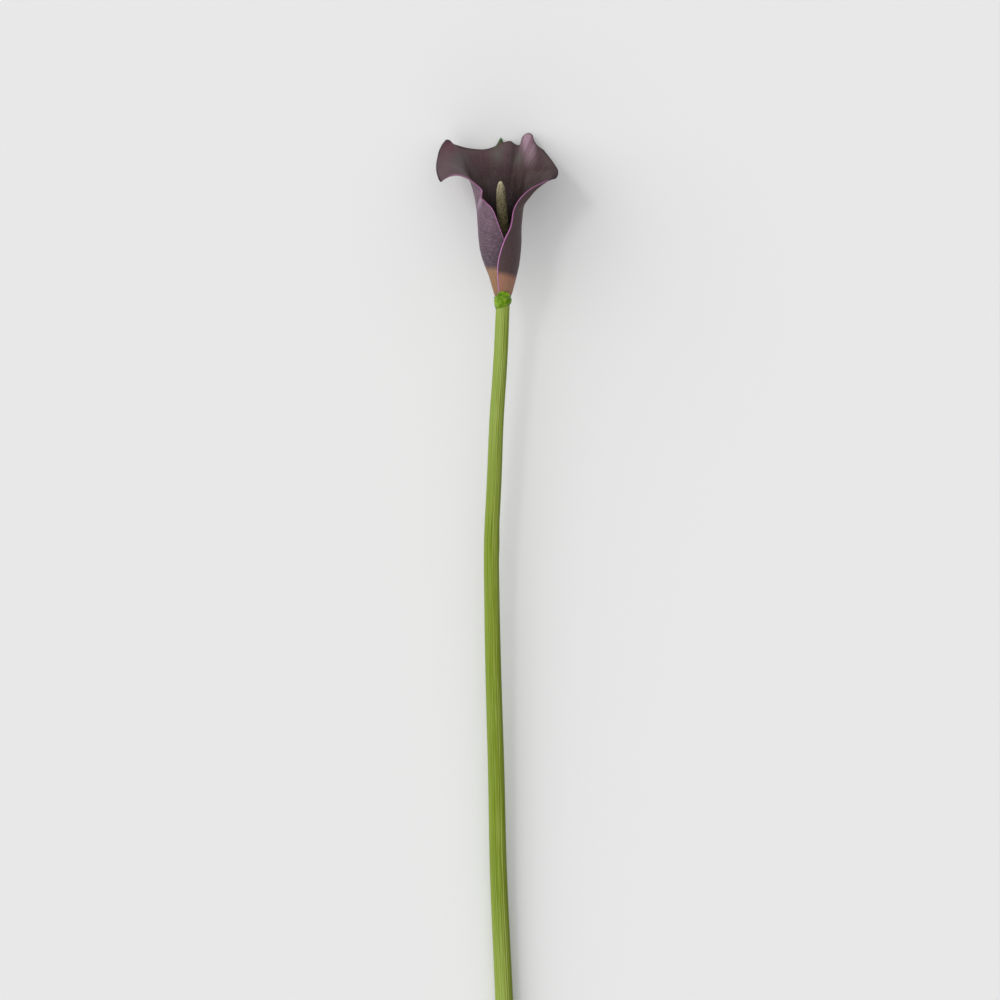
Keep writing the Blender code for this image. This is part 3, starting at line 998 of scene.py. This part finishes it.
def spadix_material(settings):
    """Spadix: a rod of tightly packed living florets, grown, dull with pollen.

    It gives the eye a matte beige-green pebbled surface, browner and, by painted shade, darker down in the
    throat.
    """
    material, tree = new_material("Calla spadix, packed florets")
    up, shade = (
        add(tree, "ShaderNodeAttribute", attribute_name=name).outputs["Fac"] for name in ("up", "shade")
    )
    place = add(tree, "ShaderNodeTexCoord").outputs["Object"]
    # Browner down in the throat, and darker there as painted shade.
    base = add(
        tree,
        "ShaderNodeValToRGB",
        {0: up},
        stops=(
            (0.25, settings.low),
            (0.45, linear("#766c50")),
            (0.60, linear("#948c70")),
            (0.70, settings.tip),
        ),
    ).outputs[0]
    # Darker by random variation and by painted shade: between the florets and on their right side.
    dark = add(tree, "ShaderNodeMapRange", {0: shade, 1: 0.3, 2: 1.4, 3: 0.0, 4: 0.9}).outputs[0]
    # Mottling 2 to 3 mm across, and grain about 0.3 mm.
    mottle = add(tree, "ShaderNodeTexNoise", {"Vector": place, "Scale": 420.0, "Detail": 4.0}).outputs[0]
    mottled = add(tree, "ShaderNodeMapRange", {0: mottle, 1: 0.42, 2: 0.65, 3: 0.0, 4: 0.6}).outputs[0]
    colour = layered(tree, base, ((mottled, linear("#736b42")), (dark, linear("#3d3820"))))
    grain = add(tree, "ShaderNodeTexNoise", {"Vector": place, "Scale": 3000.0, "Detail": 2.0}).outputs[0]
    normal = add(tree, "ShaderNodeBump", {"Height": grain, "Strength": 0.3, "Distance": 0.06 * MM}).outputs[0]
    shader = add(
        tree,
        "ShaderNodeBsdfPrincipled",
        {"Base Color": colour, "Roughness": 0.72, "IOR": 1.42, "Specular IOR Level": 0.25, "Normal": normal},
    )
    add(tree, "ShaderNodeOutputMaterial", {"Surface": shader.outputs[0]})
    return material


class CallaSpadixSettings(bpy.types.PropertyGroup):
    floret: length_property("Floret", "Spacing of the florets", 0.95)
    tip: colour_property("Tip", "Colour of the spadix at its tip", "#d6cdae")
    # Down in the trumpet this colour is partly painted shade.
    low: colour_property("Low", "Colour of the spadix down in the trumpet", "#655a40")


class CALLA_OT_spadix(bpy.types.Operator):
    """Model the spadix: a smooth core covered with packed florets"""

    bl_idname = "calla.spadix"
    bl_label = "Spadix"

    def execute(self, context):
        settings = context.scene.calla_spadix
        bm = spadix_mesh(settings.floret / MM)
        new_piece("spadix_florets", bm, "spadix", (spadix_material(settings),))
        return {"FINISHED"}


# ---- Collar ------------------------------------------------------------------------------------------


def collar_mesh(wall):
    """The collar as a lumpy sleeve, thinned off to its top and bottom edges."""
    degrees = np.linspace(-90, 270, COLLAR_COLUMNS + 1)
    turns = np.radians(degrees)
    top = along(COLLAR_TOP, degrees)[None]
    foot = along(COLLAR_FOOT, degrees)[None]
    up = np.linspace(0, 1, COLLAR_ROWS + 1)[:, None]
    height = foot + (top - foot) * up
    # Round the back it hugs the single sheet, and in front it covers the lap.
    front = smooth(*COLLAR_FRONT, np.sin(turns))[None]
    sheet = along(TUBE_RADIUS, height) + SHEET_THICKNESS / 2 + WRAP_STEP / 2 * front
    radius = np.maximum(sheet + COLLAR_CLEAR, STEM_TOP_RADIUS / MM + COLLAR_GAP)
    x = TUBE_MIDDLE[0][1] * smooth(*COLLAR_SHIFT_UP, height) + radius * np.cos(turns)
    z = HEAD_LEAN * height + radius * np.sin(turns)
    points = np.stack((x, height, z), -1)
    lumps = COLLAR_WAVE * np.sin(COLLAR_WAVE_COUNT * turns + COLLAR_WAVE_TWIST * height)
    for share, angle, spread, at, reach in COLLAR_LUMPS:
        lumps = lumps + share * bump_at(angle, spread, degrees) * bump_at(at, reach, height)
    out = unit(np.cross(np.gradient(points, axis=0), np.gradient(points, axis=1)))
    from_edge = np.minimum(up, 1 - up) * (top - foot)
    nose = np.clip(from_edge / COLLAR_EDGE, 0, 1)
    wall = wall * np.sqrt(np.maximum(COLLAR_THINNEST, 1 - (1 - nose) ** 2))
    skin = points + out * (wall + COLLAR_LUMP * lumps * smooth(0, 1, from_edge))[..., None]
    # The outer skin runs over its top edge to the inner skin and back down to where it began.
    both = np.concatenate((points[:1], skin, points[::-1]))
    bm = grid(to_model(both), {"up": both[..., 1] / 10})
    close_seams(bm)
    return bm


def collar_material(settings):
    """Collar: fleshy green tissue at the joint of stem and flower, grown smooth.

    It gives the eye a bright, wet-looking green with soft lumps, paler yellow-green patches and a darker
    foot.
    """
    material, tree = new_material("Calla collar, fleshy green tissue")
    up = add(tree, "ShaderNodeAttribute", attribute_name="up").outputs["Fac"]
    place = add(tree, "ShaderNodeTexCoord").outputs["Object"]
    # Pale patches 2 to 3 mm across.
    patches = add(tree, "ShaderNodeTexNoise", {"Vector": place, "Scale": 380.0, "Detail": 3.0}).outputs[0]
    patch_mask = add(tree, "ShaderNodeMapRange", {0: patches, 1: 0.45, 2: 0.7, 3: 0.0, 4: 0.7}).outputs[0]
    low = add(tree, "ShaderNodeMapRange", {0: up, 1: -0.2, 2: -0.5, 3: 0.0, 4: 0.5}).outputs[0]
    colour = layered(tree, settings.green, ((patch_mask, linear("#9cbc2c")), (low, linear("#5a7a0c"))))
    # Ripples about 1.5 mm long.
    waves = add(tree, "ShaderNodeTexNoise", {"Vector": place, "Scale": 700.0, "Detail": 2.0}).outputs[0]
    normal = add(tree, "ShaderNodeBump", {"Height": waves, "Strength": 0.9, "Distance": 0.5 * MM}).outputs[0]
    shader = add(
        tree,
        "ShaderNodeBsdfPrincipled",
        {"Base Color": colour, "Roughness": 0.2, "IOR": 1.45, "Specular IOR Level": 0.22, "Normal": normal},
    )
    add(tree, "ShaderNodeOutputMaterial", {"Surface": shader.outputs[0]})
    return material


class CallaCollarSettings(bpy.types.PropertyGroup):
    wall: length_property("Wall", "Thickness of the collar", 0.75)
    green: colour_property("Colour", "Main colour of the collar", "#577d00")


class CALLA_OT_collar(bpy.types.Operator):
    """Model the collar: a lumpy green sleeve over the joint of stem and spathe"""

    bl_idname = "calla.collar"
    bl_label = "Collar"

    def execute(self, context):
        settings = context.scene.calla_collar
        bm = collar_mesh(settings.wall / MM)
        new_piece("collar_sleeve", bm, "collar", (collar_material(settings),))
        return {"FINISHED"}


# ---- Stem --------------------------------------------------------------------------------------------


def stem_middle(below):
    """Middle of the stem at shares of its length below the flower, in metres."""
    x = HEAD.x + along(STEM_DRIFT, below) * MM
    z = STEM_CUT_RADIUS + HEAD_LIFT * (1 - below) ** 2
    return np.stack((x, HEAD.y - STEM_LENGTH * below, z), -1)


def stem_ribs(turns, below_mm):
    """Height of the stem's lengthwise ribs, in millimetres."""
    height = np.zeros(np.broadcast_shapes(turns.shape, below_mm.shape))
    for count, rise, drift, phase in STEM_RIBS:
        height = height + rise * np.cos(count * turns + phase + np.sin(below_mm * drift + phase))
    return height


def stem_mesh(ribs):
    """The stem with its ribs, its closed top inside the collar, and its cut end."""
    top = STEM_TOP_GAP / STEM_LENGTH
    shares = np.linspace(top, 1, STEM_ROWS + 1)
    below = np.concatenate((np.full(2, top), shares, np.ones(len(CUT_RINGS))))
    size = np.concatenate(((0.0, TOP_RING), np.ones(STEM_ROWS + 1), [ring[0] for ring in CUT_RINGS]))
    inset = np.concatenate((np.zeros(STEM_ROWS + 3), [ring[1] for ring in CUT_RINGS])) * MM
    turns = np.linspace(-0.5 * np.pi, 1.5 * np.pi, STEM_COLUMNS + 1)[None]
    below_mm = (below * STEM_LENGTH / MM)[:, None]
    radius = (STEM_TOP_RADIUS + (STEM_CUT_RADIUS - STEM_TOP_RADIUS) * below)[:, None] / MM
    sure = smooth(0, RIBS_FADE, below_mm) * smooth(0, CUT_FADE, size[:, None])
    rib = stem_ribs(turns, below_mm)
    radius = radius + ribs / MM * (rib - 1) * sure
    radius = radius + KINK_RISE * bump_at(KINK_AT, KINK_REACH, below_mm) * bump_at(0, KINK_SPREAD, turns)
    radius = radius * size[:, None]
    middles = stem_middle(below)
    middles[:, 1] += inset
    ring = np.stack((np.cos(turns), np.zeros_like(turns), np.sin(turns)), -1)
    points = middles[:, None] + radius[..., None] * ring * MM
    # The stem's underside rests on the surface, so the ribs there are flattened to it.
    points[..., 2] = np.maximum(points[..., 2], STEM_CLEAR)
    skin = np.stack(np.broadcast_arrays(radius * np.cos(turns), below_mm, radius * np.sin(turns)), -1)
    cut = np.broadcast_to((below[:, None] >= 1) * (size[:, None] < CUT_FLESH) * 1.0, radius.shape)
    below = np.broadcast_to(below_mm * MM, radius.shape)
    bm = grid(points, {"below": below, "cut": cut, "rib": rib}, {"skin_mm": skin})
    close_seams(bm)
    return bm


def stem_material(settings):
    """Stem: a fleshy stalk with a thin waxy skin, grown with fine ribs along it.

    It gives the eye a satin yellow-green with lighter and darker lengthwise streaks.
    """
    material, tree = new_material("Calla stem, ribbed waxy skin")
    below, cut, rib = (
        add(tree, "ShaderNodeAttribute", attribute_name=name).outputs["Fac"]
        for name in ("below", "cut", "rib")
    )
    skin = add(tree, "ShaderNodeAttribute", attribute_name="skin_mm").outputs["Vector"]
    base = add(
        tree,
        "ShaderNodeValToRGB",
        {0: below},
        stops=(
            (0.0, settings.ends),
            (0.07, linear("#8d9f4c")),
            (0.15, settings.middle),
            (0.34, linear("#70841e")),
            (0.42, settings.ends),
        ),
    ).outputs[0]
    # Streaks about 0.8 mm wide and some 60 mm long.
    streak_place = add(tree, "ShaderNodeMapping", {"Vector": skin, "Scale": (1.0, 0.018, 1.0)}).outputs[0]
    streaks = {"Vector": streak_place, "Scale": 1.7, "Detail": 4.0}
    streaks = add(tree, "ShaderNodeTexNoise", streaks).outputs[0]
    # Painted highlight on the crests of the ribs and painted shade in the grooves between them, stronger
    # towards the right side.
    streaks = add(tree, "ShaderNodeMath", {0: rib, 1: 0.11, 2: streaks}, operation="MULTIPLY_ADD").outputs[0]
    # Slow patches about 20 mm long.
    patches = add(tree, "ShaderNodeTexNoise", {"Vector": skin, "Scale": 0.05, "Detail": 3.0}).outputs[0]
    # Painted light and shade by side: the left side toned darker, the right half lighter, and the far right
    # edge a deep olive as painted shade.
    across = add(tree, "ShaderNodeSeparateXYZ", {0: skin}).outputs[0]
    ranges = (
        (streaks, 0.53, 0.66, 0.0, 0.85),
        (streaks, 0.47, 0.34, 0.0, 0.9),
        (patches, 0.45, 0.75, 0.0, 0.35),
        (across, 2.8, 4.5, 0.0, 0.8),
        (across, -0.5, 1.2, 0.0, 0.4),
        (across, -1.0, -4.0, 0.0, 0.5),
        (across, -1.0, 1.4, 0.3, 1.0),
    )
    light, dark, patch_mask, right_edge_shade, right_half_light, left_side_shade, ribbed = (
        add(tree, "ShaderNodeMapRange", dict(enumerate(row))).outputs[0] for row in ranges
    )
    light, dark = (
        add(tree, "ShaderNodeMath", {0: mask, 1: ribbed}, operation="MULTIPLY").outputs[0]
        for mask in (light, dark)
    )
    # Bundles of vessels, dots about 0.7 mm apart in the pale cut face.
    bundles = add(tree, "ShaderNodeTexVoronoi", {"Vector": skin, "Scale": 1.2}).outputs[0]
    dot = add(tree, "ShaderNodeMapRange", {0: bundles, 1: 0.28, 2: 0.12}).outputs[0]
    flesh = layered(tree, settings.flesh, ((dot, linear("#8f9a55")),))
    colour = layered(
        tree,
        base,
        (
            # pale and dark streaks, with painted highlight on the rib crests and painted shade in the grooves
            (light, linear("#abb86e")),
            (dark, linear("#4b6004")),
            (patch_mask, linear("#869538")),
            # painted light on the right half, painted shade on the left side and along the far right edge
            (right_half_light, linear("#8f9f3c")),
            (left_side_shade, linear("#788a36")),
            (right_edge_shade, linear("#627200")),
            (cut, flesh),
        ),
    )
    # Fibres about 0.4 mm apart and 20 mm long.
    fine = add(tree, "ShaderNodeMapping", {"Vector": skin, "Scale": (2.6, 0.05, 2.6)}).outputs[0]
    fibres = add(tree, "ShaderNodeTexNoise", {"Vector": fine, "Scale": 1.0, "Detail": 3.0}).outputs[0]
    fibres = {"Height": fibres, "Strength": 0.5, "Distance": 0.12 * MM}
    normal = add(tree, "ShaderNodeBump", fibres).outputs[0]
    shader = add(
        tree,
        "ShaderNodeBsdfPrincipled",
        {"Base Color": colour, "Roughness": 0.42, "IOR": 1.42, "Specular IOR Level": 0.12, "Normal": normal},
    )
    add(tree, "ShaderNodeOutputMaterial", {"Surface": shader.outputs[0]})
    return material


class CallaStemSettings(bpy.types.PropertyGroup):
    ribs: length_property("Ribs", "Height of the lengthwise ribs", 0.13)
    ends: colour_property("Ends", "Colour near the flower and near the cut", "#90a34f")
    middle: colour_property("Middle", "Colour halfway along", "#768a27")
    flesh: colour_property("Flesh", "Colour of the cut face", "#c8cf9c")


class CALLA_OT_stem(bpy.types.Operator):
    """Model the stem: a long ribbed stalk with a soft kink and a clean cut"""

    bl_idname = "calla.stem"
    bl_label = "Stem"

    def execute(self, context):
        settings = context.scene.calla_stem
        new_piece("stem_stalk", stem_mesh(settings.ribs), "stem", (stem_material(settings),))
        return {"FINISHED"}


# ---- Stage -------------------------------------------------------------------------------------------


def sun_light(name, towards, angle, strength):
    """A distant soft light that shines from the direction towards and is angle degrees across."""
    light = bpy.data.lights.new(name, "SUN")
    light.angle = math.radians(angle)
    light.energy = strength
    lamp = bpy.data.objects.new(name, light)
    lamp.rotation_euler = Vector(towards).to_track_quat("Z", "Y").to_euler()
    bpy.context.collection.objects.link(lamp)


def floor_material(settings):
    """Floor: matt-painted board, rolled flat. It gives the eye an even pale grey without gloss."""
    material, tree = new_material("Matt painted board")
    place = add(tree, "ShaderNodeTexCoord").outputs["Object"]
    # Roller stipple, drawn at 2 mm.
    stipple = add(tree, "ShaderNodeTexNoise", {"Vector": place, "Scale": 500.0, "Detail": 2.0}).outputs[0]
    stipple = {"Height": stipple, "Strength": 0.05, "Distance": 0.05 * MM}
    normal = add(tree, "ShaderNodeBump", stipple).outputs[0]
    shader = add(
        tree,
        "ShaderNodeBsdfPrincipled",
        {"Base Color": settings.floor, "Roughness": 0.95, "Specular IOR Level": 0.2, "Normal": normal},
    )
    add(tree, "ShaderNodeOutputMaterial", {"Surface": shader.outputs[0]})
    return material


class CallaStageSettings(bpy.types.PropertyGroup):
    floor: colour_property("Floor", "Colour of the floor", "#e7e7e7")
    sky: bpy.props.FloatProperty(name="Sky", description="Strength of the even light", default=0.84, min=0.0)
    lean: bpy.props.FloatProperty(
        name="Lean", description="How much stronger the even light is from the left", default=0.6, min=0.0
    )
    key: bpy.props.FloatProperty(name="Key", description="Strength of the main light", default=0.65, min=0.0)
    glint: bpy.props.FloatProperty(
        name="Glint", description="Strength of the small light", default=0.32, min=0.0
    )
    view: length_property("View", "Width of what the camera sees at the flower", 600)


class CALLA_OT_stage(bpy.types.Operator):
    """Set the floor, the soft lights and the camera that looks down on the flower"""

    bl_idname = "calla.stage"
    bl_label = "Stage"

    def execute(self, context):
        settings = context.scene.calla_stage
        bm = bmesh.new()
        bmesh.ops.create_grid(bm, x_segments=1, y_segments=1, size=FLOOR_SIZE / 2)
        mesh = bpy.data.meshes.new("floor")
        bm.to_mesh(mesh)
        bm.free()
        mesh.materials.append(floor_material(settings))
        floor = bpy.data.objects.new("floor", mesh)
        context.collection.objects.link(floor)

        world = bpy.data.worlds.new("Even studio light")
        world.use_nodes = True
        background = world.node_tree.nodes["Background"]
        # The even light is a little stronger from the left than from the right.
        direction = add(world.node_tree, "ShaderNodeTexCoord").outputs["Generated"]
        sideways = add(world.node_tree, "ShaderNodeSeparateXYZ", {0: direction}).outputs[0]
        low, high = 1 + settings.lean, 1 - settings.lean
        share = add(world.node_tree, "ShaderNodeMapRange", {0: sideways, 1: -1.0, 2: 1.0, 3: low, 4: high})
        strength = {0: share.outputs[0], 1: settings.sky}
        strength = add(world.node_tree, "ShaderNodeMath", strength, operation="MULTIPLY").outputs[0]
        world.node_tree.links.new(strength, background.inputs[1])
        background.inputs[0].default_value = (1.0, 1.0, 1.0, 1.0)
        context.scene.world = world
        sun_light("key", KEY_FROM, KEY_SPREAD, settings.key)
        sun_light("glint", GLINT_FROM, GLINT_SPREAD, settings.glint)

        camera = bpy.data.cameras.new("camera")
        camera.sensor_width = SENSOR
        camera.lens = LENS
        camera.clip_start = 0.01
        camera.clip_end = 100.0
        eye = bpy.data.objects.new("camera", camera)
        distance = settings.view * LENS / SENSOR
        eye.location = (VIEW_CENTRE[0], VIEW_CENTRE[1], VIEW_CENTRE[2] + distance)
        context.collection.objects.link(eye)
        context.scene.camera = eye
        context.scene.view_settings.view_transform = "Standard"
        return {"FINISHED"}


# ---- Add-on ------------------------------------------------------------------------------------------


class CALLA_PT_panel(bpy.types.Panel):
    """Lists the pieces of the calla lily and the stage"""

    bl_idname = "CALLA_PT_panel"
    bl_label = "Cut calla lily"
    bl_space_type = "VIEW_3D"
    bl_region_type = "UI"
    bl_category = "Calla"

    def draw(self, context):
        for name, group in GROUPS.items():
            box = self.layout.box()
            box.operator("calla." + name)
            settings = getattr(context.scene, "calla_" + name)
            for key in group.__annotations__:
                box.prop(settings, key)


GROUPS = {
    "stem": CallaStemSettings,
    "spathe": CallaSpatheSettings,
    "spadix": CallaSpadixSettings,
    "collar": CallaCollarSettings,
    "stage": CallaStageSettings,
}
OPERATORS = (CALLA_OT_stem, CALLA_OT_spathe, CALLA_OT_spadix, CALLA_OT_collar, CALLA_OT_stage)


def register():
    for name, group in GROUPS.items():
        bpy.utils.register_class(group)
        setattr(bpy.types.Scene, "calla_" + name, bpy.props.PointerProperty(type=group))
    for operator in OPERATORS:
        bpy.utils.register_class(operator)
    bpy.utils.register_class(CALLA_PT_panel)


def unregister():
    bpy.utils.unregister_class(CALLA_PT_panel)
    for operator in reversed(OPERATORS):
        bpy.utils.unregister_class(operator)
    for name, group in reversed(GROUPS.items()):
        delattr(bpy.types.Scene, "calla_" + name)
        bpy.utils.unregister_class(group)


def main():
    register()
    bpy.ops.calla.stem()
    bpy.ops.calla.spathe()
    bpy.ops.calla.spadix()
    bpy.ops.calla.collar()
    bpy.ops.calla.stage()


if __name__ == "__main__":
    main()
